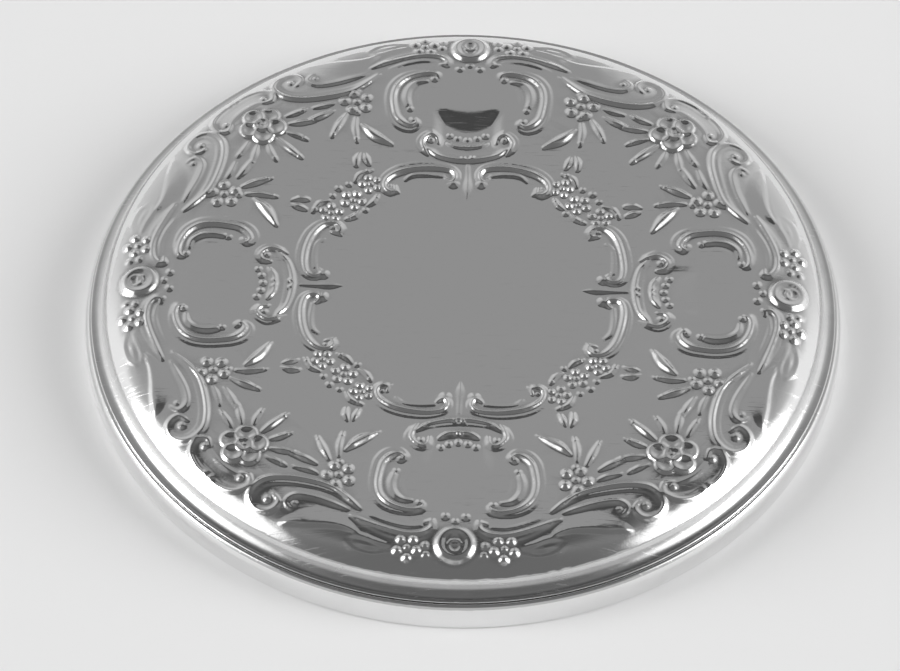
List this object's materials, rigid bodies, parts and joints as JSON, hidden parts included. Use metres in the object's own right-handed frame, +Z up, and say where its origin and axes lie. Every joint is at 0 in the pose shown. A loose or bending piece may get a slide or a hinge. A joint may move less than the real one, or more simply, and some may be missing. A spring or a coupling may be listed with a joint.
{
  "type": "purse mirror",
  "caption": "Round silver-backed purse mirror: embossed domed back with scroll and flower ornament, plain rim band, bevelled glass on the underside.",
  "frame": {"origin": "middle of the footprint, on the surface that the mirror lies on, glass down", "axes": "+Z up out of the embossed back, through the thickness; the four small fields lie along +X, -X, +Y and -Y"},
  "size_m": [0.08, 0.08, 0.0074],
  "materials": {
    "struck_silver": "die-struck silver, polished on the high points and grey in the recesses, lightly scratched",
    "rim_silver": "plain polished silver band with fine handling marks",
    "plate_glass": "clear polished plate glass with a bevelled edge",
    "silvering": "mirror coating on the back of the glass",
    "backing_paint": "matt protective paint over the mirror coating",
    "card": "plain grey card",
    "filler": "cast composition filler",
    "paper_strip": "plain paper packing"
  },
  "bodies": {
    "root": {"back_shell": "struck_silver", "rim_band": "rim_silver", "mirror_glass": "plate_glass", "mirror_silvering": "silvering", "backing_paint": "backing_paint", "packing_card": "card", "filler_core": "filler", "edge_packing": "paper_strip"}
  },
  "joints": []
}
